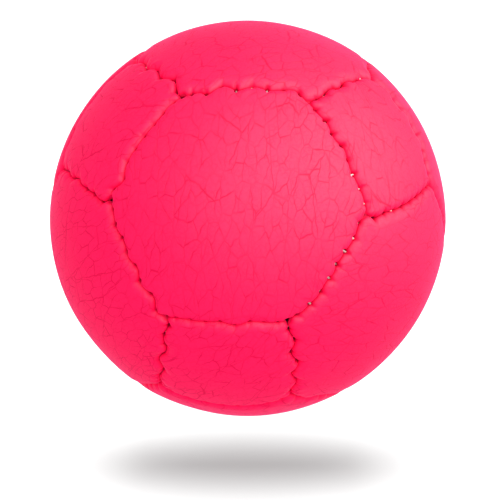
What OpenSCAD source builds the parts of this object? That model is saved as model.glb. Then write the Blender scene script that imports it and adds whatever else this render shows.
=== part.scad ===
/* [Ball] */
// Outer diameter of the finished ball
ball_d = 63.5; // [50:0.5:80]
// Depth of the pressed flat that the ball stands on
foot_depth = 0.5; // [0.3:0.1:0.8]
// Turns that set the panel pattern in the ball, about X, then Y, then Z
pattern_turn = [-53.8, -34.1, -150.2];

/* [Leather panels] */
// Thickness of the coated leather
leather_t = 1; // [0.9:0.1:1.4]
// Height of the turned-in edges, under the leather's inner face
flap_h = 2; // [1.6:0.1:3]
// Gap between the edges of two panels
seam_gap = 0.1; // [0.06:0.02:0.2]
// Radius of the rolled edge along a seam
edge_roll_r = 0.9; // [0.6:0.1:1]

/* [Stitches] */
// Stitches along one seam
stitches = 8; // [4:2:10]
// Distance from a seam's end to its first stitch, measured on the outside
corner_stitch = 1.7; // [1.5:0.1:2.5]
// Distance from the leather's inner face down to the middle of the stitch holes
stitch_drop = 0.45; // [0.4:0.05:0.6]
// Thickness of the waxed thread
thread_d = 0.4; // [0.3:0.05:0.45]
// Diameter of a stitch hole
hole_d = 0.7; // [0.6:0.05:0.7]
// Diameter of a knot at the end of a seam
knot_d = 0.9; // [0.7:0.05:1.1]

/* [Filling] */
// Thickness of the liner bag
liner_t = 0.4; // [0.3:0.05:0.8]
// Room left between pieces that lie on each other
slip = 0.1; // [0.05:0.05:0.15]

/* [Hidden] */
$fn = 96;

ball_r = ball_d / 2;
// Every cut runs this far past the surface that it opens
overrun = seam_gap;
// Radius of the leather's inner face, and of the turned-in edges' ends
inner_r = ball_r - leather_t;
flap_r = inner_r - flap_h;
// Height of the flat foot
foot_z = foot_depth - ball_r;

// Eight hexagons and six squares close the ball, as on a truncated octahedron.
// Every seam lies in a plane through the middle of the ball.
hexagon_sides = 6;
square_sides = 4;
// Angle from a square's middle to a hexagon's middle
hexagon_lean = acos(1 / sqrt(3));
// Angle from a panel's middle to the middle of its seam
function seam_lean(sides) = sides == hexagon_sides ? 90 - hexagon_lean : asin(1 / 3);
// Direction of a panel's first seam, about the panel's middle
function first_seam(sides) = sides == hexagon_sides ? 0 : 45;
// Angle that one seam spans at the middle of the ball
seam_span = 2 * atan(1 / 3);
// A rolled edge runs a little past both ends of its seam
roll_span_share = 1.2;
roll_span = seam_span * roll_span_share;

// Stitch places along a seam
degrees_per_length = 180 / (PI * ball_r);
stitch_span = seam_span - 2 * corner_stitch * degrees_per_length;
stitch_step = stitch_span / (stitches - 1);
stitch_r = inner_r - stitch_drop;
function stitch_angle(i) = (i - (stitches - 1) / 2) * stitch_step;

// How far the round of a rolled edge crosses the two faces that it joins
roll_bite_share = 0.03;
roll_bite = edge_roll_r * roll_bite_share;
// Height of the knots' middles, just under the leather
knot_r = inner_r - slip - knot_d / 2;
// How much wider the thread is at a bend
bend_share = 1.08;

// Offsets from the seam's plane, from the panel's side to the stuffing
panel_side = seam_gap / 2;
flap_inside = panel_side + leather_t;
thread_run = flap_inside + slip + thread_d / 2;
knot_run = flap_inside + slip + knot_d / 2;
pad_side = flap_inside + slip + knot_d + slip;

// Turns of the panels in the pattern, in degrees about X, then Y, then Z
function upper_hexagon(quarter) = [0, hexagon_lean, 45 + 90 * quarter];
function lower_hexagon(quarter) = [0, 180 - hexagon_lean, 45 + 90 * quarter];
// A square's side is 1 where it lies on an axis of the pattern, and -1 where it lies opposite
function square_on_x(side) = [0, 90 * side, 0];
function square_on_y(side) = [-90 * side, 0, 0];
function square_on_z(side) = [90 - 90 * side, 0, 0];

// Turns of the seams between two hexagons, which lie in the pattern's three main planes
function seam_in_x(quarter) = [45 + 90 * quarter, 0, 0];
function seam_in_y(quarter) = [45 + 90 * quarter, 0, 90];
function seam_in_z(quarter) = [0, 90, 45 + 90 * quarter];

// A point turned about X, Y or Z
function turned_x(p, a) = [p.x, p.y * cos(a) - p.z * sin(a), p.y * sin(a) + p.z * cos(a)];
function turned_y(p, a) = [p.x * cos(a) + p.z * sin(a), p.y, p.z * cos(a) - p.x * sin(a)];
function turned_z(p, a) = [p.x * cos(a) - p.y * sin(a), p.x * sin(a) + p.y * cos(a), p.z];

module leather() {
  color("#ff1850") children();
}

module waxed_thread() {
  color("#f4dde1") children();
}

// Places children in the frame of a panel or seam, whose middle is on +Z
module in_pattern(turn) {
  rotate(pattern_turn)
    rotate(turn)
      children();
}

// Places children at one seam of a panel: the seam's middle on +Z, the panel on -X
module at_seam(sides, i) {
  rotate([0, seam_lean(sides), first_seam(sides) + i * 360 / sides])
    children();
}

module at_seams(sides) {
  for (i = [0 : sides - 1])
    at_seam(sides, i) children();
}

// Everything on the far side of a seam's plane, from an offset inside the panel
module beyond_seam(offset_in) {
  reach = 2 * ball_d;
  translate([-offset_in, -reach / 2, -reach / 2])
    cube([reach, reach, reach]);
}

module above(height) {
  reach = 2 * ball_d;
  translate([-reach / 2, -reach / 2, height])
    cube([reach, reach, reach]);
}

// Presses children flat at a height, if they lie under the ball
module pressed(flat_under, height) {
  if (flat_under)
    intersection() {
      children();
      above(height);
    }
  else
    children();
}

// The part of a ball inside a panel's seams
module cap(r, sides, offset_in) {
  difference() {
    rotate([90, 0, 0])
      sphere(r);
    at_seams(sides)
      beyond_seam(offset_in);
  }
}

// What the round edge along the seam on +Z takes off its panel
module edge_roll() {
  centre_x = panel_side + edge_roll_r - roll_bite;
  centre_d = ball_r - edge_roll_r + roll_bite;
  centre_r = sqrt(centre_d * centre_d - centre_x * centre_x);
  outside = (ball_r + overrun) / centre_d;
  rotate([0, 90, 0])
    rotate([0, 0, 180 - roll_span / 2])
      rotate_extrude(angle = roll_span)
        difference() {
          polygon([
            [centre_r, -centre_x],
            [centre_r, overrun],
            [ball_r + overrun, overrun],
            [centre_r * outside, -centre_x * outside]
          ]);
          translate([centre_r, -centre_x])
            circle(edge_roll_r);
        }
}

// The outside of a panel, its edges rounded one after another
module rolled_cap(sides, edges) {
  if (edges == 0)
    cap(ball_r, sides, panel_side);
  else
    difference() {
      rolled_cap(sides, edges - 1);
      at_seam(sides, edges - 1)
        edge_roll();
    }
}

// The holes along the seam on +Z, through both panels' turned-in edges
module stitch_holes() {
  length = 2 * (flap_inside + overrun);
  for (i = [0 : stitches - 1])
    rotate([stitch_angle(i), 0, 0])
      translate([0, 0, stitch_r])
        rotate([0, 90, 0])
          cylinder(h = length, d = hole_d, center = true, $fn = 24);
}

// A leather panel: an even shell with its edges turned in and pierced for the thread
module panel(turn, sides, flat_under = false) {
  leather()
    difference() {
      pressed(flat_under, foot_z)
        in_pattern(turn)
          rolled_cap(sides, sides);
      pressed(flat_under, foot_z + leather_t)
        in_pattern(turn)
          cap(inner_r, sides, flap_inside);
      sphere(flap_r);
      in_pattern(turn)
        at_seams(sides)
          stitch_holes();
    }
}

// A place of the thread at a stitch of the seam on +Z, to one side of the seam's plane
function thread_point(i, side_x) = turned_x([side_x, 0, stitch_r], stitch_angle(i));

// The thread goes through the first stitch from -X to +X, and back through the next
function seam_points(end_x) = [
  for (i = [0 : stitches - 1], leaving = [0, 1])
    let (
      is_end = (i == 0 && leaving == 0) || (i == stitches - 1 && leaving == 1),
      side = (i + leaving) % 2 == 0 ? -1 : 1
    )
    thread_point(i, side * (is_end ? end_x : thread_run))
];

module strand(a, b) {
  along = b - a;
  translate(a)
    rotate([0, acos(along.z / norm(along)), atan2(along.y, along.x)])
      cylinder(h = norm(along), d = thread_d, $fn = 24);
}

module thread_along(points) {
  for (i = [0 : len(points) - 2])
    strand(points[i], points[i + 1]);
  for (p = points)
    translate(p)
      sphere(d = thread_d * bend_share, $fn = 24);
}

// A thread that closes one seam, with a knot at each end
module seam_thread(turn) {
  waxed_thread()
    in_pattern(turn) {
      thread_along(seam_points(knot_run));
      for (i = [0, stitches - 1])
        rotate([stitch_angle(i), 0, 0])
          translate([-knot_run, 0, knot_r])
            sphere(d = knot_d, $fn = 32);
    }
}

// A thread that runs clockwise round a square panel and closes its four seams
module ring_thread(turn) {
  points = [
    for (seam = [0 : square_sides - 1], p = seam_points(thread_run))
      turned_z(
        turned_y(p, seam_lean(square_sides)),
        first_seam(square_sides) - seam * 360 / square_sides
      )
  ];
  waxed_thread()
    in_pattern(turn)
      thread_along(concat(points, [points[0]]));
}

// The room inside the panels, less an even inset
module stuffing(inset) {
  pad_r = inner_r - slip - inset;
  pressed(true, foot_z + leather_t + slip + inset) {
    sphere(flap_r - slip - inset);
    for (quarter = [0 : 3], turn = [upper_hexagon(quarter), lower_hexagon(quarter)])
      in_pattern(turn)
        cap(pad_r, hexagon_sides, pad_side + inset);
    for (side = [1, -1], turn = [square_on_x(side), square_on_y(side), square_on_z(side)])
      in_pattern(turn)
        cap(pad_r, square_sides, pad_side + inset);
  }
}

module hex_panel_front() {
  panel(upper_hexagon(0), hexagon_sides);
}

module hex_panel_front_right() {
  panel(upper_hexagon(1), hexagon_sides);
}

module hex_panel_right() {
  panel(upper_hexagon(2), hexagon_sides);
}

module hex_panel_top() {
  panel(upper_hexagon(3), hexagon_sides);
}

module hex_panel_left() {
  panel(lower_hexagon(0), hexagon_sides);
}

module hex_panel_base() {
  panel(lower_hexagon(1), hexagon_sides, flat_under = true);
}

module hex_panel_back() {
  panel(lower_hexagon(2), hexagon_sides);
}

module hex_panel_back_left() {
  panel(lower_hexagon(3), hexagon_sides);
}

module square_panel_upper_left() {
  panel(square_on_x(1), square_sides);
}

module square_panel_lower_right() {
  panel(square_on_x(-1), square_sides);
}

module square_panel_lower_front() {
  panel(square_on_y(1), square_sides);
}

module square_panel_upper_back() {
  panel(square_on_y(-1), square_sides);
}

module square_panel_upper_right() {
  panel(square_on_z(1), square_sides);
}

module square_panel_lower_left() {
  panel(square_on_z(-1), square_sides);
}

module ring_thread_upper_left() {
  ring_thread(square_on_x(1));
}

module ring_thread_lower_right() {
  ring_thread(square_on_x(-1));
}

module ring_thread_lower_front() {
  ring_thread(square_on_y(1));
}

module ring_thread_upper_back() {
  ring_thread(square_on_y(-1));
}

module ring_thread_upper_right() {
  ring_thread(square_on_z(1));
}

module ring_thread_lower_left() {
  ring_thread(square_on_z(-1));
}

module seam_thread_top_right() {
  seam_thread(seam_in_x(0));
}

module seam_thread_back_left_back() {
  seam_thread(seam_in_x(1));
}

module seam_thread_left_base() {
  seam_thread(seam_in_x(2));
}

module seam_thread_front_front_right() {
  seam_thread(seam_in_x(3));
}

module seam_thread_front_top() {
  seam_thread(seam_in_y(0));
}

module seam_thread_left_back_left() {
  seam_thread(seam_in_y(1));
}

module seam_thread_base_back() {
  seam_thread(seam_in_y(2));
}

module seam_thread_front_right_right() {
  seam_thread(seam_in_y(3));
}

module seam_thread_front_left() {
  seam_thread(seam_in_z(0));
}

module seam_thread_front_right_base() {
  seam_thread(seam_in_z(1));
}

module seam_thread_right_back() {
  seam_thread(seam_in_z(2));
}

module seam_thread_top_back_left() {
  seam_thread(seam_in_z(3));
}

// Keeps the granules from leaking through the stitch holes
module liner_bag() {
  color("#e8e4da")
    difference() {
      stuffing(0);
      stuffing(liner_t);
    }
}

module granule_fill() {
  color("#b9a27c")
    stuffing(liner_t + slip);
}

hex_panel_front();
hex_panel_front_right();
hex_panel_right();
hex_panel_top();
hex_panel_left();
hex_panel_base();
hex_panel_back();
hex_panel_back_left();
square_panel_upper_left();
square_panel_lower_right();
square_panel_lower_front();
square_panel_upper_back();
square_panel_upper_right();
square_panel_lower_left();
ring_thread_upper_left();
ring_thread_lower_right();
ring_thread_lower_front();
ring_thread_upper_back();
ring_thread_upper_right();
ring_thread_lower_left();
seam_thread_top_right();
seam_thread_back_left_back();
seam_thread_left_base();
seam_thread_front_front_right();
seam_thread_front_top();
seam_thread_left_back_left();
seam_thread_base_back();
seam_thread_front_right_right();
seam_thread_front_left();
seam_thread_front_right_base();
seam_thread_right_back();
seam_thread_top_back_left();
liner_bag();
granule_fill();
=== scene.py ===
# A hand-sewn lacrosse ball: leather panels, waxed thread, a liner bag and the granules in it
import math
import random

import bmesh
import bpy
import numpy as np
from mathutils import Euler, Matrix, Vector, kdtree


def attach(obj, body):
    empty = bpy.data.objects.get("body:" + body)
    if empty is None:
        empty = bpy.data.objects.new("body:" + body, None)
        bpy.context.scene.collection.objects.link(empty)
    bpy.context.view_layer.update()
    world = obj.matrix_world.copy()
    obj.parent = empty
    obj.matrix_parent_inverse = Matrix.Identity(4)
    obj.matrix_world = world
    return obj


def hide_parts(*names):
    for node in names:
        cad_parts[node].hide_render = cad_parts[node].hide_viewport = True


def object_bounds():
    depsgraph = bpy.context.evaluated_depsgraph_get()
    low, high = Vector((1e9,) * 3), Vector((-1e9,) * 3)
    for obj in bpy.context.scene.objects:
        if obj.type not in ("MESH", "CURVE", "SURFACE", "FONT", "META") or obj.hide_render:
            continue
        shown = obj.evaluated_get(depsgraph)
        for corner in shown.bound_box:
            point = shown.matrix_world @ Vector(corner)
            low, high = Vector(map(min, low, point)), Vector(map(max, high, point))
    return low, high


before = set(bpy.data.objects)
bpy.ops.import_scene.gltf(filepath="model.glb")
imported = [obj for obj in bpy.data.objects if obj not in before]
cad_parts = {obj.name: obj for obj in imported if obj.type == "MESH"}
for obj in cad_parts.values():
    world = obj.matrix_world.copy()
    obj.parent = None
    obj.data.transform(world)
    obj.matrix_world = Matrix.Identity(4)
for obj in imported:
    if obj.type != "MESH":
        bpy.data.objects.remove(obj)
cadLow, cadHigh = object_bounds()

# All shapes are worked out in millimetres and become metres when a mesh is written
mm = 0.001

ball = {
    "radius": (cadHigh.x - cadLow.x) / 2 / mm,
    "footZ": cadLow.z / mm,
    "footSoftness": 0.06,
    "turn": (-53.8, -34.1, -150.2),  # sets the panel pattern, in degrees about X, then Y, then Z
    "stitches": 8,  # along one seam
    "cornerStitch": 1.7,  # from a seam's end to its first stitch
}
radius = ball["radius"]

# Eight hexagons and six squares, as on a truncated octahedron
hexLean = math.degrees(math.acos(1 / math.sqrt(3)))


def upperHexagon(quarter):
    return 6, (0, hexLean, 45 + 90 * quarter)


def lowerHexagon(quarter):
    return 6, (0, 180 - hexLean, 45 + 90 * quarter)


panelTurns = {
    "hex_panel_front": upperHexagon(0),
    "hex_panel_front_right": upperHexagon(1),
    "hex_panel_right": upperHexagon(2),
    "hex_panel_top": upperHexagon(3),
    "hex_panel_left": lowerHexagon(0),
    "hex_panel_base": lowerHexagon(1),
    "hex_panel_back": lowerHexagon(2),
    "hex_panel_back_left": lowerHexagon(3),
    "square_panel_upper_left": (4, (0, 90, 0)),
    "square_panel_lower_right": (4, (0, -90, 0)),
    "square_panel_lower_front": (4, (-90, 0, 0)),
    "square_panel_upper_back": (4, (90, 0, 0)),
    "square_panel_upper_right": (4, (0, 0, 0)),
    "square_panel_lower_left": (4, (180, 0, 0)),
}

# The seams between two hexagons, each a quarter turn on from the last in one of the pattern's planes
seamTurns = {
    "seam_thread_top_right": (45, 0, 0),
    "seam_thread_back_left_back": (135, 0, 0),
    "seam_thread_left_base": (225, 0, 0),
    "seam_thread_front_front_right": (315, 0, 0),
    "seam_thread_front_top": (45, 0, 90),
    "seam_thread_left_back_left": (135, 0, 90),
    "seam_thread_base_back": (225, 0, 90),
    "seam_thread_front_right_right": (315, 0, 90),
    "seam_thread_front_left": (0, 90, 45),
    "seam_thread_front_right_base": (0, 90, 135),
    "seam_thread_right_back": (0, 90, 225),
    "seam_thread_top_back_left": (0, 90, 315),
}


def turnMatrix(degrees):
    return np.array(Euler([math.radians(a) for a in degrees], "XYZ").to_matrix())


ballTurn = turnMatrix(ball["turn"])


def unit(v):
    return v / np.linalg.norm(v, axis=-1, keepdims=True)


def smooth(x):
    x = np.clip(x, 0, 1)
    return x * x * (3 - 2 * x)


def bell(x):
    return np.exp(-x * x)


# An object made of a mesh, curve, camera or lamp, in the scene
def addObject(name, data):
    added = bpy.data.objects.new(name, data)
    bpy.context.scene.collection.objects.link(added)
    return added


# Camera, at the photograph's viewing angle
view = {
    "elevation": 8.5,
    "distance": 762.0,
    "ballRadiusPixels": 197.7,
    "ballOffsetPixels": (-2.35, 31.64),  # of the ball's middle from the picture's, right and up
    "picturePixels": 500,
    "sensor": 36.0,
    "clip": (0.01, 50),  # metres
}


def makeCamera():
    lean = math.radians(view["elevation"])
    toward = Vector((0, -math.cos(lean), math.sin(lean)))
    right, up = Vector((1, 0, 0)), Vector((0, math.sin(lean), math.cos(lean)))
    halfAngle = math.asin(radius / view["distance"])
    pixelsFocal = view["ballRadiusPixels"] / math.tan(halfAngle)
    offRight, offUp = (p * view["distance"] / pixelsFocal for p in view["ballOffsetPixels"])
    place = toward * view["distance"] * mm
    aim = (-right * offRight - up * offUp) * mm
    data = bpy.data.cameras.new("camera")
    data.sensor_width = view["sensor"]
    data.lens = pixelsFocal / view["picturePixels"] * view["sensor"]
    data.clip_start, data.clip_end = view["clip"]
    camera = addObject("camera", data)
    camera.location = place
    camera.rotation_euler = (aim - place).to_track_quat("-Z", "Y").to_euler()
    bpy.context.scene.camera = camera
    return np.array(right), np.array(up), np.array(toward)


cameraRight, cameraUp, cameraToward = makeCamera()
print("camera ready")

# How hand sewing pulls the seams about, in millimetres
sewing = {
    "seed": 12,
    "gap": 0.04,  # between two panels' edges
    "swing": (0.05, 0.55),  # how far a seam swings to either side, where it isn't named below
    "swingSpread": (0.5, 1.3),  # how unlike the swings of one seam are, as shares
    "swingTurns": 0.7,  # chance that a swing goes to the other side than the last
    "swingReach": 3.2,
    "swingRoll": 0.3,  # share by which a swing narrows its own panel's roll and widens the other's
    "opening": (0.08, 0.30),  # how far each edge stands back at a stitch
    "openingRun": 0.27,
    "openingReach": 0.8,
    "tightShare": 0.35,  # of an opening, where a seam is pulled tight
    "tightRoll": 0.96,
    "looseShare": 1.8,  # of an opening, where the stitches gape
    "cornerOpening": (0.0, 0.04),
    "cornerRun": 0.40,
    "rollWidth": 1.8,
    "rollDepth": 1.0,
    "rollCorner": 5,  # above 2 keeps the panels' corners sharper
    "pull": (0.5, 1.2),  # how hard each stitch pulls, as a share
    "pullRun": 0.45,
    "pullNarrows": 0.12,  # share of the roll's width that a pull takes away
    "stitchDepth": 0.24,
    "stitchRun": 0.35,
    "tickRun": 0.18,  # of the small creases that run into the panels from the stitches, which are only painted in as shade
    "tickReach": 1.5,
    "pucker": 0.09,
    "puckerRun": 0.50,
    "puckerPlace": 0.5,  # from the seam
    "puckerReach": 1.7,
    "puckerInside": 0.6,  # share of a pucker that shows on the leather's inner face
    "uneven": 0.05,
    "unevenWaves": 9,
    "unevenLength": (9, 22),
    "cornerDrift": 0.55,  # how far a corner may sit off the even pattern
    "cornerReach": 10.0,  # degrees
    "leastFacing": 0.5,  # below it, a corner near the outline is moved as if it faced the camera this much
}

thread = {
    "thickness": 0.40,
    "plyGroove": 0.22,  # how deep the groove between the two plies is, as a share
    "twistLength": 1.3,
    "sides": 12,
    "stepsBetweenPoints": 7,
    "runDepth": 1.45,  # under the outside, along the back of the turned-in edges
    "runAcross": 1.35,
    "crossingDepth": (1.45, 1.8),  # of the stitches across the seam: the shallow ones show
    "halfwayShare": 0.62,  # of runAcross, where a stitch is halfway up
    "lean": (0.02, 0.25),  # how far a stitch leans along the seam, halfway up and at its ends
    "paleDepth": (0.95, 1.25),
    "paleShare": 0.12,  # of the stitches that aren't named below
    "knotAcross": 1.6,
    "knotRadius": 0.24,
    "knotTurns": 2,
    "knotSteps": 8,  # points of one turn
    "knotLength": 0.4,
    "knotDrop": 0.1,  # further under the outside than the run
}

# The corners that the camera sees, named by the pattern's whole numbers,
# and how far each sits off the even pattern, to the right and up
seenCorners = {
    (2, 0, 1): (0.2, -0.3),
    (1, 0, 2): (0.4, 0.0),
    (0, 1, 2): (0.6, 0.0),
    (0, 2, 1): (-0.6, -0.2),
    (1, 2, 0): (0.0, -0.8),
    (2, 1, 0): (0.0, -0.1),
    (0, 2, -1): (-1.4, 0.9),
    (-1, 2, 0): (-0.4, 0.7),
    (0, -1, 2): (-1.0, -0.3),
    (-1, 0, 2): (-0.4, 1.0),
    (2, 0, -1): (0.5, -0.4),
    (2, -1, 0): (0.7, -0.1),
}

# The corners where the panels' tips don't quite meet, with how far each edge stands back
openCorners = {(2, 0, 1): 0.20, (2, 1, 0): 0.22, (0, 2, 1): 0.17, (1, 2, 0): 0.08}

# Where the seams that the camera sees swing to, named by their two corners. Each pair is how far along
# the seam from its middle, and how far to its left seen from its first corner, in millimetres.
seenSwings = {
    ((0, -1, 2), (1, 0, 2)): (
        (-9.2, 0.2), (-6.5, -0.5), (-2, -0.1), (0, -0.45), (2.4, 0.2), (4.6, -0.3), (7.2, 0.2),
    ),
    ((0, 2, -1), (1, 2, 0)): (
        (-8.6, -0.1), (-6.6, 0.3), (-3.3, -0.15), (-0.4, 0.7), (2.5, -0.55), (5.5, 0.1), (9, -0.6),
    ),
    ((-1, 0, 2), (0, 1, 2)): ((-8, 0), (-3.3, 0.1), (0, 0.4), (3.8, 0.65), (5.6, 0.55), (8.4, 0.9)),
    ((2, 0, -1), (2, 1, 0)): (
        (-9.4, 0.2), (-5.2, 0.5), (-2.3, 0), (0.4, 0.5), (2.2, -0.15), (5.7, -0.35), (8.6, -0.9),
    ),
    ((-1, 2, 0), (0, 2, 1)): (
        (-8.6, 0.3), (-4.4, -0.4), (-1.7, 0.5), (0.6, -0.6), (3.5, 0.4), (5.9, -0.6), (8.4, 0),
    ),
    ((2, -1, 0), (2, 0, 1)): (
        (-8.6, 0), (-4.9, 0.7), (-1, -0.1), (0.9, 0.85), (3.7, 0), (6.2, 1.15), (9.2, -0.2),
    ),
    ((0, 1, 2), (0, 2, 1)): (
        (-8.6, -0.3), (-5.7, 0.3), (-1.5, 0.25), (0.4, 0.65), (2.2, 0.5), (4.1, 0.95), (7.2, 0.8),
    ),
    ((0, 1, 2), (1, 0, 2)): (
        (-9.2, -0.5), (-6.5, -0.75), (-3.2, -0.7), (0.6, -1.35), (2.8, -0.55), (5.4, -0.8), (8, -0.2),
    ),
    ((0, 2, 1), (1, 2, 0)): ((-8, 0.1), (-4.1, -0.2), (-1.2, 0.6), (1.4, 0.1), (3.5, 0.25), (8.3, -0.15)),
    ((1, 0, 2), (2, 0, 1)): (
        (-7.5, -1.6), (-4.1, -0.7), (-1.5, -1.1), (0.8, -0.2), (3.3, -1.05), (5.8, 0.3), (7.4, -0.2),
    ),
    ((2, 0, 1), (2, 1, 0)): ((-7.3, -0.35), (-4.8, 0.05), (0.4, 0), (3.5, -0.1), (6.7, 0.9), (8.9, -0.35)),
    ((0, 2, -1), (-1, 2, 0)): ((-7, -0.5), (0, -0.7), (7, -0.5)),
    ((1, 2, 0), (2, 1, 0)): (
        (-8.8, 0.9), (-6.9, -0.15), (-4.1, 0.8), (-2, 0), (0.4, 0.65), (2.7, 0.2), (5.6, 0.6), (8.3, 0.2),
    ),
}

# How deep the stitches lie whose thread shows, in millimetres, counted from the seam's first corner
seenStitches = {
    ((0, 1, 2), (1, 0, 2)): {0: 1.1, 1: 1.15, 2: 1.1},
    ((0, 1, 2), (0, 2, 1)): {1: 1.2, 2: 1.3, 4: 1.25, 6: 1.2},
    ((1, 0, 2), (2, 0, 1)): {2: 1.35, 3: 1.25, 5: 1.4},
    ((0, -1, 2), (1, 0, 2)): {0: 0.95, 1: 0.95},
    ((-1, 0, 2), (0, 1, 2)): {5: 1.2},
    ((2, -1, 0), (2, 0, 1)): {2: 1.05},
}

# The seams that are pulled tight, so that no stitch hole shows
tightSeams = (((0, 2, 1), (1, 2, 0)), ((2, 0, 1), (2, 1, 0)))
# The seams whose stitch holes gape
looseSeams = (((0, 1, 2), (1, 0, 2)), ((1, 0, 2), (2, 0, 1)), ((0, 1, 2), (0, 2, 1)))

sameCosine = 0.01  # two cosines this close are of the same angle
farAway = 99.0  # millimetres, further than any seam


def allCorners():
    found = []
    for one in (-1, 1):
        for two in (-2, 2):
            for zero in range(3):
                for swap in (False, True):
                    rest = [two, one] if swap else [one, two]
                    rest.insert(zero, 0)
                    found.append(tuple(rest))
    return found


def cornerMove(corner, rng):
    place = unit(ballTurn @ np.array(corner, float))
    if corner in seenCorners:
        right, up = seenCorners[corner]
        facing = max(place @ cameraToward, sewing["leastFacing"])
        away = -(right * (place @ cameraRight) + up * (place @ cameraUp)) / facing
        move = right * cameraRight + up * cameraUp + away * cameraToward
    else:
        move = np.array([rng.uniform(-1, 1) for _ in range(3)]) * sewing["cornerDrift"]
    return place, move - (move @ place) * place


rng = random.Random(sewing["seed"])
cornerKeys = allCorners()
cornerPlaces, cornerMoves = (np.array(a) for a in zip(*[cornerMove(c, rng) for c in cornerKeys]))

seamLength = 2 * math.atan(1 / 3) * radius
stitchStep = (seamLength - 2 * ball["cornerStitch"]) / (ball["stitches"] - 1)
stitchPlaces = (np.arange(ball["stitches"]) - (ball["stitches"] - 1) / 2) * stitchStep


# Turns of a seam's line that isn't named above: one between each two stitches, mostly to either side in turn
def chanceSwings(rng):
    size = rng.uniform(*sewing["swing"])
    side = rng.choice((-1, 1))
    turns = []
    for place in stitchPlaces[1:]:
        side *= -1 if rng.random() < sewing["swingTurns"] else 1
        turns.append((place - stitchStep / 2, side * size * rng.uniform(*sewing["swingSpread"])))
    return tuple(turns)


# A seam runs between two corners. Its sides are told apart by its plane's normal.
def makeSeam(pair, a, b, rng):
    middle, normal = unit(a + b), unit(np.cross(a, b))
    turns = seenSwings.get(pair) or chanceSwings(rng)
    places = [-seamLength / 2, *(along for along, _ in turns), seamLength / 2]
    slack = sewing["tightShare"] if pair in tightSeams else 1
    gape = sewing["looseShare"] if pair in looseSeams else slack
    return {
        "middle": middle,
        "normal": normal,
        "along": np.cross(normal, middle),
        "turnPlaces": np.array(places),
        "turnSides": np.array([0, *(side for _, side in turns), 0]),
        "openings": gape * np.array([rng.uniform(*sewing["opening"]) for _ in stitchPlaces]),
        "pulls": (slack + 1) / 2 * np.array([rng.uniform(*sewing["pull"]) for _ in stitchPlaces]),
        "ticks": {side: [slack * rng.random() for _ in stitchPlaces] for side in (-1, 1)},
        "roll": sewing["tightRoll"] if pair in tightSeams else 1,
        "cornerOpenings": [openCorners.get(corner, rng.uniform(*sewing["cornerOpening"])) for corner in pair],
        "stitchDepths": seenStitches.get(pair, {}),
        "chance": 0 if pair in seenSwings else thread["paleShare"],
    }


seams = []
for i, a in enumerate(cornerPlaces):
    for j, b in enumerate(cornerPlaces[i + 1 :], i + 1):
        if a @ b > math.cos(seamLength / radius) - sameCosine:
            seams.append(makeSeam((cornerKeys[i], cornerKeys[j]), a, b, rng))
print(len(seams), "seams,", len(cornerKeys), "corners")


# Where directions lie by a seam: across it, along it, and how far from its nearest point
def bySeam(seam, directions):
    across = radius * np.arcsin(np.clip(directions @ seam["normal"], -1, 1))
    along = radius * np.arctan2(directions @ seam["along"], directions @ seam["middle"])
    beyond = np.maximum(np.abs(along) - seamLength / 2, 0)
    return across, along, np.hypot(across, beyond)


# Sum of one bump for each stitch, sized by its share
def atStitches(along, run, shares):
    return sum(share * bell((along - place) / run) for share, place in zip(shares, stitchPlaces))


# How far a seam's line lies to the side, running smoothly from one of its turns to the next
def swing(seam, along):
    places, sides = seam["turnPlaces"], seam["turnSides"]
    last = np.clip(np.searchsorted(places, along) - 1, 0, len(places) - 2)
    share = (along - places[last]) / (places[last + 1] - places[last])
    swung = sides[last] + (sides[last + 1] - sides[last]) * smooth(share)
    return np.where(np.abs(along) < seamLength / 2, swung, 0)


# How far sewing moves the leather sideways, at each direction
def drift(directions, nearSeams):
    moved = np.zeros_like(directions)
    reach = 1 - math.cos(math.radians(sewing["cornerReach"]))
    for place, move in zip(cornerPlaces, cornerMoves):
        weight = np.exp((directions @ place - 1) / reach)
        moved += weight[:, None] * move
    for seam in nearSeams:
        across, along, _ = bySeam(seam, directions)
        pushed = swing(seam, along) * bell(across / sewing["swingReach"])
        moved += pushed[:, None] * seam["normal"]
    return moved


wavesRng = random.Random(sewing["seed"] + 1)
waves = []
for _ in range(sewing["unevenWaves"]):
    heading = unit(np.array([wavesRng.gauss(0, 1) for _ in range(3)]))
    length = wavesRng.uniform(*sewing["unevenLength"])
    waves.append((heading * 2 * math.pi / length * radius, wavesRng.uniform(0, 2 * math.pi)))


def uneven(directions):
    total = sum(np.sin(directions @ heading + phase) for heading, phase in waves)
    return total * sewing["uneven"] / math.sqrt(len(waves))


# Presses what lies under the ball flat at a height
def pressed(points, height):
    soft = ball["footSoftness"]
    over = (points[:, 2] - height) / soft
    points[:, 2] = height + soft * np.logaddexp(0, over)
    return points


leatherSheet = {
    "thickness": 1.0,
    "turnedIn": 3.0,  # depth of the turned-in edges' ends under the outside
    "cuts": 83,  # rows of the mesh along a seam, less one
    "edgeRows": 6,
    "crowding": 0.6,  # how much closer the rows lie near the seams
    "hide": 500,  # the panels are cut from places up to this far from its middle
}


def meshFrom(bm, name):
    mesh = bpy.data.meshes.new(name)
    bm.to_mesh(mesh)
    bm.free()
    return mesh


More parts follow.
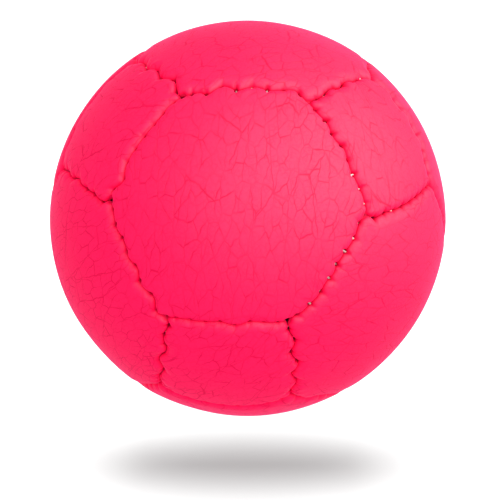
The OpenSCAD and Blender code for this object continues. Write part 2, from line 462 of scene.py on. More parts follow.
# The panel before it is wrapped: a flat polygon of radius 1 with its turned-in edges below it.
# Z counts the rows of the edge, and the attribute marks the inner face.
def flatPanel(sides):
    bm = bmesh.new()
    bmesh.ops.create_circle(bm, cap_ends=True, segments=sides, radius=1)
    bmesh.ops.poke(bm, faces=bm.faces[:])
    bmesh.ops.subdivide_edges(bm, edges=bm.edges[:], cuts=leatherSheet["cuts"], use_grid_fill=True)
    for _ in range(leatherSheet["edgeRows"]):
        rim = [e for e in bm.edges if e.is_boundary]
        made = bmesh.ops.extrude_edge_only(bm, edges=rim)["geom"]
        low = [g for g in made if isinstance(g, bmesh.types.BMVert)]
        bmesh.ops.translate(bm, verts=low, vec=(0, 0, -1))
    inner = bm.verts.layers.int.new("innerFace")
    copied = bmesh.ops.duplicate(bm, geom=bm.verts[:] + bm.edges[:] + bm.faces[:])["geom"]
    for g in copied:
        if isinstance(g, bmesh.types.BMVert):
            g[inner] = 1
    bmesh.ops.bridge_loops(bm, edges=[e for e in bm.edges if e.is_boundary])
    bmesh.ops.recalc_face_normals(bm, faces=bm.faces[:])
    return meshFrom(bm, "flatPanel")


def readMesh(mesh):
    points = np.zeros(len(mesh.vertices) * 3)
    mesh.vertices.foreach_get("co", points)
    return points.reshape(-1, 3)


def writeMesh(mesh, points):
    mesh.vertices.foreach_set("co", (points * mm).astype(np.float32).ravel())
    mesh.update()


def addAttribute(mesh, name, values):
    attribute = mesh.attributes.new(name, "FLOAT_VECTOR", "POINT")
    attribute.data.foreach_set("vector", values.astype(np.float32).ravel())


def addPiece(name, mesh, material, node):
    mesh.name = name
    mesh.materials.clear()
    mesh.materials.append(material)
    mesh.shade_smooth()
    piece = addObject(name, mesh)
    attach(piece, "root")
    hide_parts(node)
    return piece


# Which way the crackle runs, in degrees from upright in the picture, on the panels that face it
seenGrain = {
    "hex_panel_front": 6,
    "hex_panel_top": 60,
    "hex_panel_front_right": 78,
    "hex_panel_left": 70,
    "square_panel_upper_left": 35,
    "square_panel_upper_right": -8,
    "square_panel_lower_front": 50,
}


# Rows are the axes of the grain: across the creases, along them, and out of the panel
def grainAxes(node, axis, rng):
    lean = math.radians(seenGrain.get(node, rng.uniform(0, 180)))
    upward = unit(cameraUp - (cameraUp @ axis) * axis)
    sideways = np.cross(upward, axis)
    along = upward * math.cos(lean) + sideways * math.sin(lean)
    return np.stack([np.cross(along, axis), along, axis])


# The flat panel's outline, with its rows crowded towards the seams
def crowdRows(points, sides):
    sideAngles = math.pi / sides + np.arange(sides) * 2 * math.pi / sides + math.pi / 2
    headings = np.stack([np.cos(sideAngles), np.sin(sideAngles)], 1)
    # a share of the way from the middle to the seams
    share = (points[:, :2] @ headings.T).max(1) / math.cos(math.pi / sides)
    crowded = share + leatherSheet["crowding"] * share * (1 - share)
    return points[:, :2] * (crowded / np.maximum(share, 1e-9))[:, None]


# What the seams around a panel do to it: how far they move its leather, how deep it drops, how much of
# that is pucker, and how strong the painted shade of the small creases is
def sewEdges(directions, axis, around):
    moved = drift(directions, around)
    rolls, deeper, dimple, ticks = np.zeros((4, len(directions)))
    for seam in around:
        side = np.sign(axis @ seam["normal"])
        across, along, away = bySeam(seam, directions)
        opening = sewing["gap"] / 2 + atStitches(along, sewing["openingRun"], seam["openings"])
        for end, share in zip((-1, 1), seam["cornerOpenings"]):
            opening += share * bell((along - end * seamLength / 2) / sewing["cornerRun"])
        opening *= bell(away / sewing["openingReach"])
        moved += (side * opening)[:, None] * seam["normal"]
        pull = atStitches(along, sewing["pullRun"], seam["pulls"])
        pushedBack = np.clip(side * swing(seam, along) / sewing["swing"][1], -1, 1)
        width = sewing["rollWidth"] * (1 + sewing["swingRoll"] * pushedBack - sewing["pullNarrows"] * pull)
        roll = np.clip(1 - away / width, 0, 1) * seam["roll"]
        rolls += roll ** sewing["rollCorner"]
        deeper += sewing["stitchDepth"] * atStitches(along, sewing["stitchRun"], seam["pulls"]) * roll**2
        pucker = atStitches(along, sewing["puckerRun"], seam["pulls"])
        dimple += sewing["pucker"] * pucker * bell((away - sewing["puckerPlace"]) / sewing["puckerReach"])
        tick = atStitches(along, sewing["tickRun"], seam["ticks"][int(side)])
        ticks = np.maximum(ticks, tick * smooth(1 - away / sewing["tickReach"]))
    roll = np.minimum(rolls, 1) ** (1 / sewing["rollCorner"])
    drop = sewing["rollDepth"] * (1 - np.sqrt(1 - roll**2)) + deeper + dimple
    return moved, drop, dimple, ticks


# The crackle lies on the panel as it was cut, flat from its middle, out of its own place in the hide
def layGrain(node, local, matrix, rng):
    start = np.array([rng.uniform(-leatherSheet["hide"], leatherSheet["hide"]) for _ in range(3)])
    angle = np.arccos(np.clip(local[:, 2], -1, 1))
    flatPlace = unit(local[:, :2] + 1e-9) * (angle * radius)[:, None]
    return flatPlace @ matrix[:, :2].T @ grainAxes(node, matrix[:, 2], rng).T + start


# Wraps the flat panel on the ball and sews its edges in
def wrapPanel(flat, sides, node, turn, seed):
    points = readMesh(flat)
    inner = np.zeros(len(points), np.int32)
    flat.attributes["innerFace"].data.foreach_get("value", inner)
    inner = inner == 1
    row = -points[:, 2] / leatherSheet["edgeRows"]
    thick, end = leatherSheet["thickness"], leatherSheet["turnedIn"]

    # from the panel's middle to its corners, and to the middles of its seams
    cornerAngle = math.acos(3 / math.sqrt(15)) if sides == 6 else math.acos(2 / math.sqrt(5))
    seamAngle = math.atan(math.tan(cornerAngle) * math.cos(math.pi / sides))
    inset = (sewing["gap"] / 2 + thick) / (radius - thick)
    flatXY = crowdRows(points, sides)
    flatXY[inner] *= math.tan(seamAngle - inset) / math.tan(seamAngle)
    matrix = ballTurn @ turnMatrix(turn)
    local = unit(np.column_stack([flatXY * math.tan(cornerAngle), np.ones(len(points))]))
    directions = local @ matrix.T

    axis = matrix[:, 2]
    around = [s for s in seams if abs(s["middle"] @ axis - math.cos(seamAngle)) < sameCosine]
    moved, drop, dimple, ticks = sewEdges(directions, axis, around)
    depth = drop + (end - drop) * row
    depth[inner] = (thick + sewing["puckerInside"] * dimple + (end - thick) * row)[inner]
    depth -= uneven(directions) * (1 - row)
    placed = unit(directions * radius + moved) * (radius - depth)[:, None]
    placed[~inner] = pressed(placed[~inner], ball["footZ"])
    placed[inner] = pressed(placed[inner], ball["footZ"] + thick)

    mesh = flat.copy()
    writeMesh(mesh, placed)
    addAttribute(mesh, "grain", layGrain(node, local, matrix, random.Random(seed)))
    addAttribute(mesh, "seam", np.column_stack([depth, ticks, np.zeros(len(depth))]))
    return mesh


# Points across, along and under a seam that the thread passes at one stitch
def stitchPath(place, side, crossing):
    run, low = thread["runAcross"], thread["runDepth"]
    halfway, near = (low + crossing) / 2, thread["halfwayShare"]
    nearLean, endLean = thread["lean"]
    steps = [
        (-1, low, endLean),
        (-near, halfway, nearLean),
        (0, crossing, 0),
        (near, halfway, -nearLean),
        (1, low, -endLean),
    ]
    return [(side * share * run, place - lean, depth) for share, depth, lean in steps]


# Where a path by a seam runs once the ball is sewn
def onBall(seam, path):
    placed = []
    for across, along, depth in path:
        heading = seam["middle"] * math.cos(along / radius) + seam["along"] * math.sin(along / radius)
        direction = unit(heading + seam["normal"] * math.tan(across / radius))[None, :]
        bent = unit(direction * radius + drift(direction, [seam]))
        placed.append(bent[0] * (radius - depth))
    return placed


# A small coil under the panel's edge, for the knot at a thread's end
def knotPath(side, place):
    loops = []
    turn = thread["knotRadius"]
    steps = thread["knotSteps"] * thread["knotTurns"]
    for i in range(steps + 1):
        angle = i * 2 * math.pi / thread["knotSteps"]
        across = side * (thread["knotAcross"] + turn * math.cos(angle))
        along = place + (i / steps - 0.5) * thread["knotLength"]
        depth = thread["runDepth"] + thread["knotDrop"] + turn * math.sin(angle)
        loops.append((across, along, depth))
    return loops


# Two twisted plies: a curve with their outline as its profile, tilted further at each point
def makeThread(name, spots, closed, material, node):
    profile = bpy.data.curves.new("ply", "CURVE")
    ring = profile.splines.new("POLY")
    ring.points.add(thread["sides"] - 1)
    for i, point in enumerate(ring.points):
        angle = i * 2 * math.pi / thread["sides"]
        reach = thread["thickness"] / 2 * mm * (1 - thread["plyGroove"] * math.sin(angle) ** 2)
        point.co = (reach * math.cos(angle), reach * math.sin(angle), 0, 1)
    ring.use_cyclic_u = True
    profileObject = addObject("ply", profile)

    curve = bpy.data.curves.new(name, "CURVE")
    curve.dimensions = "3D"
    curve.resolution_u = thread["stepsBetweenPoints"]
    curve.bevel_mode = "OBJECT"
    curve.bevel_object = profileObject
    curve.use_fill_caps = True
    line = curve.splines.new("BEZIER")
    line.bezier_points.add(len(spots) - 1)
    travelled = 0
    for i, (point, spot) in enumerate(zip(line.bezier_points, spots)):
        if i:
            travelled += np.linalg.norm(spot - spots[i - 1])
        point.co = Vector(spot * mm)
        point.handle_left_type = point.handle_right_type = "AUTO"
        point.tilt = travelled / thread["twistLength"] * 2 * math.pi
    line.use_cyclic_u = closed
    maker = addObject(name, curve)
    bpy.context.view_layer.update()
    graph = bpy.context.evaluated_depsgraph_get()
    mesh = bpy.data.meshes.new_from_object(maker.evaluated_get(graph))
    for scrap in (maker, profileObject):
        bpy.data.objects.remove(scrap)
    bm = bmesh.new()
    bm.from_mesh(mesh)
    bmesh.ops.remove_doubles(bm, verts=bm.verts[:], dist=1e-7)
    bmesh.ops.recalc_face_normals(bm, faces=bm.faces[:])
    bm.to_mesh(mesh)
    bm.free()
    addPiece(name, mesh, material, node)


def hexColour(code):
    parts = [int(code[i : i + 2], 16) / 255 for i in (1, 3, 5)]
    return tuple(p / 12.92 if p <= 0.04045 else ((p + 0.055) / 1.055) ** 2.4 for p in parts) + (1,)


# Adds a node, sets its sockets or properties, and links other nodes' outputs to its sockets
def addNode(tree, kind, settings=None, links=None):
    node = tree.nodes.new(kind)
    for key, value in (settings or {}).items():
        if isinstance(key, int) or key in node.inputs:
            node.inputs[key].default_value = value
        else:
            setattr(node, key, value)
    for key, source in (links or {}).items():
        tree.links.new(source, node.inputs[key])
    return node


def newMaterial(name):
    material = bpy.data.materials.new(name)
    material.use_nodes = True
    material.node_tree.nodes.clear()
    return material, material.node_tree


# Fluorescent polyurethane-coated leather, embossed with a fine crackle, with a soft satin sheen.
# Lengths are in millimetres.
leatherLook = {
    "colour": "#FF0856",
    # painted shade in the creases of the crackle; the speckles take a share of it
    "crease": "#E60044",
    "valley": "#FF0050",  # painted shade, a deeper red down the rolled edges
    # painted shade in the seam line and in the small creases by the stitches
    "groove": "#DC0040",
    # painted shade, near black, deep inside the seam
    "deepSeamShade": "#3A000D",
    # the depths under the outside at which each painted shade starts and is full
    "depths": (("valley", 0.2, 0.6), ("groove", 0.6, 1.1), ("deepSeamShade", 1.2, 1.7)),
    # how dark the painted shade of the small creases by the stitches is
    "tickStrength": 0.75,
    "roughness": (0.57, 0.69),  # in the hollows of the pebbles and on them
    "specular": 0.07,
    "dulled": 0.38,  # share of the gloss that is left in the creases and down the rolled edges
    "dullDepths": (0.3, 0.8),
    "sheen": {"Sheen Weight": 0.14, "Sheen Roughness": 0.25, "Sheen Tint": (1.0, 0.2, 1.0, 1.0)},
    "sway": 1.1,  # how far the creases wander
    "swirls": 0.55,  # of their wandering, to a millimetre
    "patchEdges": (0.38, 0.6),  # noise levels between which a net of creases comes in
    "creaseDepth": 0.025,
    "pebble": 0.32,
    "pebbleDepth": 0.018,
    "speckle": 0.35,  # how dark the speckles are, as a share of a crease
    "speckleEdges": (0.5, 0.72),
}

# The three nets of creases: a cell's width and its share of the cell's length, a crease's width,
# the size of the patches in which the net stands out, and how strong it is between and in them
creaseNets = (
    {"cell": 1.7, "narrow": 0.48, "line": 0.115, "patch": 3.0, "strength": (0.36, 1.0)},
    {"cell": 4.6, "narrow": 0.35, "line": 0.115, "patch": 6.0, "strength": (0.1, 1.0)},
    {"cell": 0.85, "narrow": 0.7, "line": 0.10, "patch": 2.0, "strength": (0.045, 0.45)},
)


def creaseMarks(tree, net, grain, warped):
    settings = {"Scale": (1, net["narrow"], 1)}
    placed = addNode(tree, "ShaderNodeMapping", settings, {"Vector": warped}).outputs[0]
    settings = {"voronoi_dimensions": "2D", "feature": "DISTANCE_TO_EDGE", "Scale": 1 / net["cell"]}
    cells = addNode(tree, "ShaderNodeTexVoronoi", settings, {"Vector": placed})
    edge = net["line"] / net["cell"]
    settings = {"interpolation_type": "SMOOTHSTEP", "From Max": edge, "To Min": 1.0, "To Max": 0.0}
    marks = addNode(tree, "ShaderNodeMapRange", settings, {"Value": cells.outputs["Distance"]}).outputs[0]
    settings = {"Scale": 1 / net["patch"], "Detail": 1.0}
    patch = addNode(tree, "ShaderNodeTexNoise", settings, {"Vector": grain}).outputs[0]
    low, high = leatherLook["patchEdges"]
    weak, strong = net["strength"]
    settings = {"From Min": low, "From Max": high, "To Min": weak, "To Max": strong}
    shown = addNode(tree, "ShaderNodeMapRange", settings, {"Value": patch}).outputs[0]
    return addNode(tree, "ShaderNodeMath", {"operation": "MULTIPLY"}, {0: marks, 1: shown}).outputs[0]


# How creased or speckled the leather is, from 0 to 1, and the height of its pebbles
def leatherGrain(tree):
    look = leatherLook
    grain = addNode(tree, "ShaderNodeAttribute", {"attribute_name": "grain"}).outputs["Vector"]
    settings = {"Scale": look["swirls"], "Detail": 2.5}
    swirl = addNode(tree, "ShaderNodeTexNoise", settings, {"Vector": grain}).outputs["Color"]
    settings = {"operation": "SUBTRACT", 1: (0.5, 0.5, 0.5)}
    centred = addNode(tree, "ShaderNodeVectorMath", settings, {0: swirl}).outputs[0]
    settings = {"operation": "SCALE", "Scale": look["sway"]}
    pushed = addNode(tree, "ShaderNodeVectorMath", settings, {0: centred}).outputs[0]
    warped = addNode(tree, "ShaderNodeVectorMath", {"operation": "ADD"}, {0: grain, 1: pushed}).outputs[0]

    settings = {"Scale": 1 / look["pebble"], "Detail": 2.0}
    pebbles = addNode(tree, "ShaderNodeTexNoise", settings, {"Vector": grain}).outputs[0]
    low, high = look["speckleEdges"]
    settings = {"From Min": low, "From Max": high, "To Max": look["speckle"]}
    lines = addNode(tree, "ShaderNodeMapRange", settings, {"Value": pebbles}).outputs[0]
    for net in creaseNets:
        marks = creaseMarks(tree, net, grain, warped)
        lines = addNode(tree, "ShaderNodeMath", {"operation": "MAXIMUM"}, {0: lines, 1: marks}).outputs[0]
    return lines, pebbles


# Painted shade: the colour darkens in the creases and in the small creases by the stitches, then down the
# seam, then most deeply inside it
def leatherColour(tree, lines, depth, ticks):
    look = leatherLook
    settings = {"data_type": "RGBA", 6: hexColour(look["colour"]), 7: hexColour(look["crease"])}
    colour = addNode(tree, "ShaderNodeMix", settings, {0: lines}).outputs[2]
    settings = {"operation": "MULTIPLY", 1: look["tickStrength"]}
    share = addNode(tree, "ShaderNodeMath", settings, {0: ticks}).outputs[0]
    settings = {"data_type": "RGBA", 7: hexColour(look["groove"])}
    colour = addNode(tree, "ShaderNodeMix", settings, {0: share, 6: colour}).outputs[2]
    for name, start, full in look["depths"]:
        settings = {"From Min": start, "From Max": full}
        share = addNode(tree, "ShaderNodeMapRange", settings, {"Value": depth}).outputs[0]
        settings = {"data_type": "RGBA", 7: hexColour(look[name])}
        colour = addNode(tree, "ShaderNodeMix", settings, {0: share, 6: colour}).outputs[2]
    return colour


def coatedLeather():
    look = leatherLook
    material, tree = newMaterial("coatedLeather")
    seam = addNode(tree, "ShaderNodeAttribute", {"attribute_name": "seam"}).outputs["Vector"]
    seamParts = addNode(tree, "ShaderNodeSeparateXYZ", links={0: seam})
    depth, ticks = seamParts.outputs["X"], seamParts.outputs["Y"]
    lines, pebbles = leatherGrain(tree)
    colour = leatherColour(tree, lines, depth, ticks)

    smoothest, roughest = look["roughness"]
    settings = {"To Min": smoothest, "To Max": roughest}
    roughness = addNode(tree, "ShaderNodeMapRange", settings, {"Value": pebbles}).outputs[0]
    start, full = look["dullDepths"]
    settings = {"From Min": start, "From Max": full}
    sunk = addNode(tree, "ShaderNodeMapRange", settings, {"Value": depth}).outputs[0]
    dull = addNode(tree, "ShaderNodeMath", {"operation": "MAXIMUM"}, {0: lines, 1: sunk}).outputs[0]
    settings = {"To Min": look["specular"], "To Max": look["specular"] * look["dulled"]}
    specular = addNode(tree, "ShaderNodeMapRange", settings, {"Value": dull}).outputs[0]
    settings = {"Strength": 1.0, "Distance": look["pebbleDepth"] * mm}
    pebbled = addNode(tree, "ShaderNodeBump", settings, {"Height": pebbles}).outputs[0]
    settings = {"Strength": 1.0, "Distance": look["creaseDepth"] * mm, "invert": True}
    creased = addNode(tree, "ShaderNodeBump", settings, {"Height": lines, "Normal": pebbled}).outputs[0]
    links = {"Base Color": colour, "Roughness": roughness, "Specular IOR Level": specular, "Normal": creased}
    shader = addNode(tree, "ShaderNodeBsdfPrincipled", {"IOR": 1.5, **look["sheen"]}, links)
    addNode(tree, "ShaderNodeOutputMaterial", links={"Surface": shader.outputs[0]})
    return material


# Waxed polyester thread: pale fibres with a faint pink stain from the leather's coating
threadLook = {"colour": "#D9C9C8", "stain": "#B57482", "roughness": 0.6, "fibre": 0.08, "fibreDepth": 0.02}


def waxedThread():
    look = threadLook
    material, tree = newMaterial("waxedThread")
    place = addNode(tree, "ShaderNodeTexCoord").outputs["Object"]
    settings = {"Scale": 1 / (look["fibre"] * mm), "Detail": 2.0}
    fibres = addNode(tree, "ShaderNodeTexNoise", settings, {"Vector": place}).outputs[0]
    settings = {"data_type": "RGBA", 6: hexColour(look["colour"]), 7: hexColour(look["stain"])}
    colour = addNode(tree, "ShaderNodeMix", settings, {0: fibres}).outputs[2]
    settings = {"Distance": look["fibreDepth"] * mm}
    bump = addNode(tree, "ShaderNodeBump", settings, {"Height": fibres}).outputs[0]
    links = {"Base Color": colour, "Normal": bump}
    shader = addNode(tree, "ShaderNodeBsdfPrincipled", {"Roughness": look["roughness"]}, links)
    addNode(tree, "ShaderNodeOutputMaterial", links={"Surface": shader.outputs[0]})
    return material


# Plain-woven cotton, unbleached and matt
liner = {
    "thickness": 0.4,
    "slip": 0.1,  # room between the liner and the leather
    "padStart": 2.1,  # distance from a seam at which the liner fills out under a panel
    "padRun": 1.0,
    "crumple": 0.12,
    "crumples": 5,  # how often it folds to and fro as the ball's unevenness rises
    "cutShare": 0.75,  # of its two round halves, left when their darts are cut out
    "yarn": 0.9,  # drawn coarse, so that it shows
    "yarnDepth": 0.12,
    "colour": "#E8E4DA",
    # painted shade where the weave dips
    "shade": "#B9B2A2",
    "roughness": 0.9,
}

# Tumbled plastic granules, matt, each in its own shade
granules = {
    "size": 2.1,
    "height": 0.7,
    "packing": 0.85,  # room that each takes on the surface, as a share of its square
    "roundness": 0.85,  # how far round each curves before it meets the next
    "lowest": 0.05,  # height at which the valleys between them are flat, a share, squared
    "spin": 0.02,  # how far each lies off an even spiral, as shares of the ball's radius
    "jitter": 0.012,
    "colour": "#C3AE8A",
    "shade": "#9A835C",
    "roughness": 0.7,
}

roundCuts = 7  # of the liner's and the granules' round meshes


def wovenCotton():
    material, tree = newMaterial("wovenCotton")
    weave = addNode(tree, "ShaderNodeAttribute", {"attribute_name": "weave"}).outputs["Vector"]
    parts = addNode(tree, "ShaderNodeSeparateXYZ", links={0: weave})
    threads = []
    for axis in ("X", "Y"):
        settings = {"operation": "MULTIPLY", 1: math.pi / liner["yarn"]}
        turned = addNode(tree, "ShaderNodeMath", settings, {0: parts.outputs[axis]}).outputs[0]
        threads.append(addNode(tree, "ShaderNodeMath", {"operation": "SINE"}, {0: turned}).outputs[0])
    links = {0: threads[0], 1: threads[1]}
    crossed = addNode(tree, "ShaderNodeMath", {"operation": "MULTIPLY"}, links).outputs[0]
    height = addNode(tree, "ShaderNodeMapRange", {"From Min": -1.0}, {"Value": crossed}).outputs[0]
    # painted shade: the weave is darker where its threads dip
    settings = {"data_type": "RGBA", 6: hexColour(liner["shade"]), 7: hexColour(liner["colour"])}
    colour = addNode(tree, "ShaderNodeMix", settings, {0: height}).outputs[2]
    settings = {"Distance": liner["yarnDepth"] * mm}
    bump = addNode(tree, "ShaderNodeBump", settings, {"Height": height}).outputs[0]
    links = {"Base Color": colour, "Normal": bump}
    shader = addNode(tree, "ShaderNodeBsdfPrincipled", {"Roughness": liner["roughness"]}, links)
    addNode(tree, "ShaderNodeOutputMaterial", links={"Surface": shader.outputs[0]})
    return material


def tumbledGranules():
    material, tree = newMaterial("tumbledGranules")
    place = addNode(tree, "ShaderNodeTexCoord").outputs["Object"]
    cells = addNode(tree, "ShaderNodeTexVoronoi", {"Scale": 1 / (granules["size"] * mm)}, {"Vector": place})
    tint = addNode(tree, "ShaderNodeSeparateColor", links={0: cells.outputs["Color"]}).outputs[0]
    settings = {"data_type": "RGBA", 6: hexColour(granules["colour"]), 7: hexColour(granules["shade"])}
    colour = addNode(tree, "ShaderNodeMix", settings, {0: tint}).outputs[2]
    settings = {"Roughness": granules["roughness"]}
    shader = addNode(tree, "ShaderNodeBsdfPrincipled", settings, {"Base Color": colour})
    addNode(tree, "ShaderNodeOutputMaterial", links={"Surface": shader.outputs[0]})
    return material


# The room inside the panels: full under each panel, and lower along the seams
def roomRadius(directions, inset):
    away = np.full(len(directions), farAway)
    for seam in seams:
        away = np.minimum(away, bySeam(seam, directions)[2])
    low = radius - leatherSheet["turnedIn"] - liner["slip"] - inset
    high = radius - leatherSheet["thickness"] - liner["slip"] - inset
    return low + (high - low) * smooth((away - liner["padStart"] - inset) / liner["padRun"])


def roundMesh(name):
    bm = bmesh.new()
    bmesh.ops.create_icosphere(bm, subdivisions=roundCuts, radius=1)
    mesh = meshFrom(bm, name)
    return mesh, unit(readMesh(mesh))


def makeLiner(material):
    mesh, directions = roundMesh("cotton_liner")
    crumple = np.abs(np.sin(uneven(directions) / sewing["uneven"] * liner["crumples"])) * liner["crumple"]
    length = roomRadius(directions, 0) - crumple
    placed = unit(directions * radius + drift(directions, seams)) * length[:, None]
    foot = ball["footZ"] + leatherSheet["thickness"] + liner["slip"]
    writeMesh(mesh, pressed(placed, foot))
    # two round halves sewn together, each with its weave laid flat from its middle
    angle = np.arccos(np.clip(np.abs(directions[:, 0]), 0, 1))
    spread = unit(directions[:, 1:] + 1e-9) * angle[:, None] * radius
    addAttribute(mesh, "weave", np.column_stack([spread, np.zeros(len(spread))]))
    piece = addPiece("cotton_liner", mesh, material, "liner_bag")
    wall = piece.modifiers.new("wall", "SOLIDIFY")
    wall.thickness = liner["thickness"] * mm
    wall.offset = -1


# The outermost granules lie on a spiral round the ball, each a little off its even place
def makeGranules(material):
    mesh, directions = roundMesh("granules")
    inset = liner["thickness"] + liner["slip"]
    count = int(4 * math.pi * radius**2 / (granules["size"] ** 2 * granules["packing"]))
    tree = kdtree.KDTree(count)
    spin = random.Random(sewing["seed"] + 2)
    golden = math.pi * (3 - math.sqrt(5))
    for i in range(count):
        z = 1 - (2 * i + 1) / count
        angle = i * golden + spin.uniform(-granules["spin"], granules["spin"])
        flatness = math.sqrt(1 - z * z)
        jitter = Vector([spin.uniform(-granules["jitter"], granules["jitter"]) for _ in range(3)])
        tree.insert(Vector((flatness * math.cos(angle), flatness * math.sin(angle), z)) + jitter, i)
    tree.balance()
    gaps = np.array([tree.find(Vector(d))[2] for d in directions]) * radius / (granules["size"] / 2)
    dome = np.sqrt(np.maximum(1 - (gaps * granules["roundness"]) ** 2, granules["lowest"]))
    length = roomRadius(directions, inset) - granules["height"] * (1 - dome)
    placed = unit(directions * radius + drift(directions, seams)) * length[:, None]
    foot = ball["footZ"] + leatherSheet["thickness"] + liner["slip"] + inset
    writeMesh(mesh, pressed(placed, foot))
    piece = addPiece("granules", mesh, material, "granule_fill")


leather = coatedLeather()
waxed = waxedThread()

flatPanels = {6: flatPanel(6), 4: flatPanel(4)}
# the width, length and area that each kind of panel is cut to, in metres
blanks = {6: (0.0451, 0.0501, 0.00162), 4: (0.0264, 0.0264, 0.000697)}
for i, (node, (sides, turn)) in enumerate(panelTurns.items()):
    mesh = wrapPanel(flatPanels[sides], sides, node, turn, sewing["seed"] * 100 + i)
    name = node.replace("hex_panel", "leather_hexagon").replace("square_panel", "leather_square")
    piece = addPiece(name, mesh, leather, node)
    width, length, area = blanks[sides]
print(len(panelTurns), "leather panels")

threadRng = random.Random(sewing["seed"] + 3)


# One seam's stitches in a turned frame: the seam's middle on Z, across on X, along on Y
def sewnPath(matrix, knots):
    seam = max(seams, key=lambda s: s["middle"] @ matrix[:, 2])
    flipAlong = math.copysign(1, seam["along"] @ matrix[:, 1])
    flipAcross = math.copysign(1, seam["normal"] @ matrix[:, 0])
    path = []
    places = list(-stitchPlaces)
    for i, place in enumerate(places):
        pale = threadRng.random() < seam["chance"]
        chanceDepth = threadRng.uniform(*thread["paleDepth" if pale else "crossingDepth"])
        number = ball["stitches"] - 1 - i if flipAlong > 0 else i
        depth = seam["stitchDepths"].get(number, chanceDepth)
        path += stitchPath(place, 1 if i % 2 == 0 else -1, depth)
    if knots:
        path = knotPath(-1, places[0])[::-1] + path[1:-1] + knotPath(-1, places[-1])
    return onBall(seam, [(flipAcross * x, flipAlong * y, z) for x, y, z in path])


for node, turn in seamTurns.items():
    spots = sewnPath(ballTurn @ turnMatrix(turn), True)
    makeThread(node.replace("seam_thread", "thread_seam"), spots, False, waxed, node)
squareLean = math.degrees(math.asin(1 / 3))
for node, (sides, turn) in panelTurns.items():
    if sides == 4:
        spots = []
        for i in range(4):
            matrix = ballTurn @ turnMatrix(turn) @ turnMatrix((0, squareLean, 45 - 90 * i))
            spots += sewnPath(matrix, False)
        ringNode = node.replace("square_panel", "ring_thread")
        makeThread(node.replace("square_panel", "thread_ring"), spots, True, waxed, ringNode)
print("threads sewn")

makeLiner(wovenCotton())
makeGranules(tumbledGranules())
for flat in flatPanels.values():
    bpy.data.meshes.remove(flat)
print("liner and granules filled")

stageValues = {
    "floorDrop": 8.6,  # the floor lies this far under the ball's lowest point
    "floorSize": 1.8,  # metres
    "floorColour": "#383838",  # as the camera sees it, under its own glow
    "floorGlow": 0.465,
    "floorBounce": 1.0,  # light that the white floor sends up to the ball
    "worldStrength": 1.1,
}

# Softboxes: degrees to the right of the camera and up, metres, and the radiance of their front.
# The satin light is seen by gloss alone, and the overhead one lights the floor alone.
lamps = {
    "keyLight": {
        "angle": (38, 20),
        "distance": 0.9,
        "size": (0.7, 0.7),
        "radiance": 1.3,
        "skipsFloor": True,
        "lightsMatt": True,
    },
    "satinLight": {
        "angle": (43, 34),
        "distance": 0.9,
        "size": (2.8, 1.2),
        "radiance": 28.0,
        "skipsFloor": True,
        "lightsMatt": False,
    },
    "overheadLight": {
        "angle": (0, 90),
        "distance": 1.0,
        "size": (0.9, 2.4),
        "radiance": 86.0,
        "skipsFloor": False,
        "lightsMatt": True,
    },
}

# The dark room behind the camera, which only gloss sees: a dome cut by a plane
darkRoom = {"radius": 3.0, "away": (0.35, 0.65, 0.68), "reach": 0.15, "colour": "#080808"}


# 1 for the rays that find a white studio at its plain strength: the camera's, and those of gloss and glass
def backdropRays(tree):
    path = addNode(tree, "ShaderNodeLightPath")
    total = path.outputs["Is Camera Ray"]
    for kind in ("Is Glossy Ray", "Is Transmission Ray"):
        settings = {"operation": "ADD", "use_clamp": True}
        total = addNode(tree, "ShaderNodeMath", settings, {0: total, 1: path.outputs[kind]}).outputs[0]
    return path, total


def makeStage():
    bm = bmesh.new()
    bmesh.ops.create_grid(bm, x_segments=1, y_segments=1, size=stageValues["floorSize"] / 2)
    mesh = meshFrom(bm, "floor")
    mesh.transform(Matrix.Translation((0, 0, (-radius - stageValues["floorDrop"]) * mm)))
    floor = addObject("floor", mesh)
    # white paper: the camera sees it grey under a glow, so that the shadow stays neutral and soft,
    # and everything else finds it plain white
    material, tree = newMaterial("paperSweep")
    path, backdrop = backdropRays(tree)
    matt = addNode(tree, "ShaderNodeBsdfDiffuse", {"Color": hexColour(stageValues["floorColour"])})
    glow = addNode(tree, "ShaderNodeEmission", {"Strength": stageValues["floorGlow"]})
    seen = addNode(tree, "ShaderNodeAddShader", links={0: matt.outputs[0], 1: glow.outputs[0]})
    settings = {"To Min": stageValues["floorBounce"], "To Max": 1.0}
    level = addNode(tree, "ShaderNodeMapRange", settings, {"Value": backdrop}).outputs[0]
    white = addNode(tree, "ShaderNodeEmission", links={"Strength": level})
    links = {0: path.outputs["Is Camera Ray"], 1: white.outputs[0], 2: seen.outputs[0]}
    both = addNode(tree, "ShaderNodeMixShader", links=links)
    addNode(tree, "ShaderNodeOutputMaterial", links={"Surface": both.outputs[0]})
    mesh.materials.append(material)
    return floor


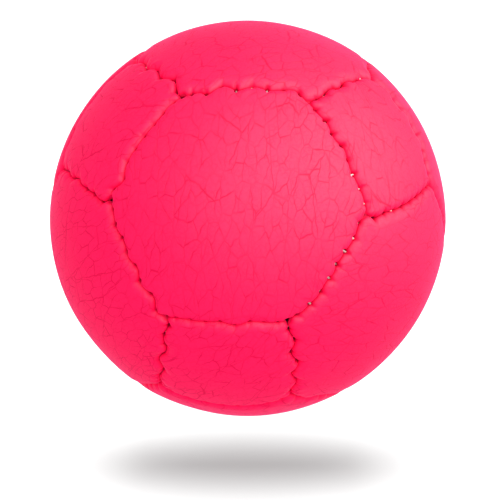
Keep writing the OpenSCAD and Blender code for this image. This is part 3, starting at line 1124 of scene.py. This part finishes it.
def makeDarkRoom():
    bm = bmesh.new()
    bmesh.ops.create_uvsphere(bm, u_segments=64, v_segments=32, radius=darkRoom["radius"])
    away = Vector(darkRoom["away"]).normalized()
    everything = bm.verts[:] + bm.edges[:] + bm.faces[:]
    cut = away * darkRoom["reach"] * darkRoom["radius"]
    bmesh.ops.bisect_plane(bm, geom=everything, plane_co=cut, plane_no=away, clear_outer=True)
    mesh = meshFrom(bm, "darkRoom")
    room = addObject("darkRoom", mesh)
    room.visible_camera = room.visible_diffuse = room.visible_transmission = room.visible_shadow = False
    material, tree = newMaterial("blackCloth")
    matt = addNode(tree, "ShaderNodeBsdfDiffuse", {"Color": hexColour(darkRoom["colour"])})
    addNode(tree, "ShaderNodeOutputMaterial", links={"Surface": matt.outputs[0]})
    mesh.materials.append(material)


def makeWorld():
    world = bpy.data.worlds.new("studio")
    bpy.context.scene.world = world
    world.use_nodes = True
    tree = world.node_tree
    tree.nodes.clear()
    levels = {"To Min": stageValues["worldStrength"], "To Max": 1.0}
    _, backdrop = backdropRays(tree)
    strength = addNode(tree, "ShaderNodeMapRange", levels, {"Value": backdrop})
    sky = addNode(tree, "ShaderNodeBackground", {"Color": (1, 1, 1, 1)}, {"Strength": strength.outputs[0]})
    addNode(tree, "ShaderNodeOutputWorld", links={"Surface": sky.outputs[0]})


def makeLamp(name, lamp, floor):
    side, up = (math.radians(a) for a in lamp["angle"])
    heading = Vector((math.sin(side) * math.cos(up), -math.cos(side) * math.cos(up), math.sin(up)))
    data = bpy.data.lights.new(name, "AREA")
    data.shape = "RECTANGLE"
    data.size, data.size_y = lamp["size"]
    data.energy = lamp["radiance"] * data.size * data.size_y * math.pi
    softbox = addObject(name, data)
    softbox.location = heading * lamp["distance"]
    softbox.rotation_euler = (-heading).to_track_quat("-Z", "Y").to_euler()
    softbox.visible_camera = False
    softbox.visible_diffuse = lamp["lightsMatt"]
    lit = bpy.data.collections.new(name)
    lit.objects.link(floor)
    if lamp["skipsFloor"]:
        lit.collection_objects[0].light_linking.link_state = "EXCLUDE"
    softbox.light_linking.receiver_collection = lit


floor = makeStage()
makeDarkRoom()
makeWorld()
for name, lamp in lamps.items():
    makeLamp(name, lamp, floor)
bpy.context.scene.view_settings.view_transform = "Standard"
print("stage and lights ready")
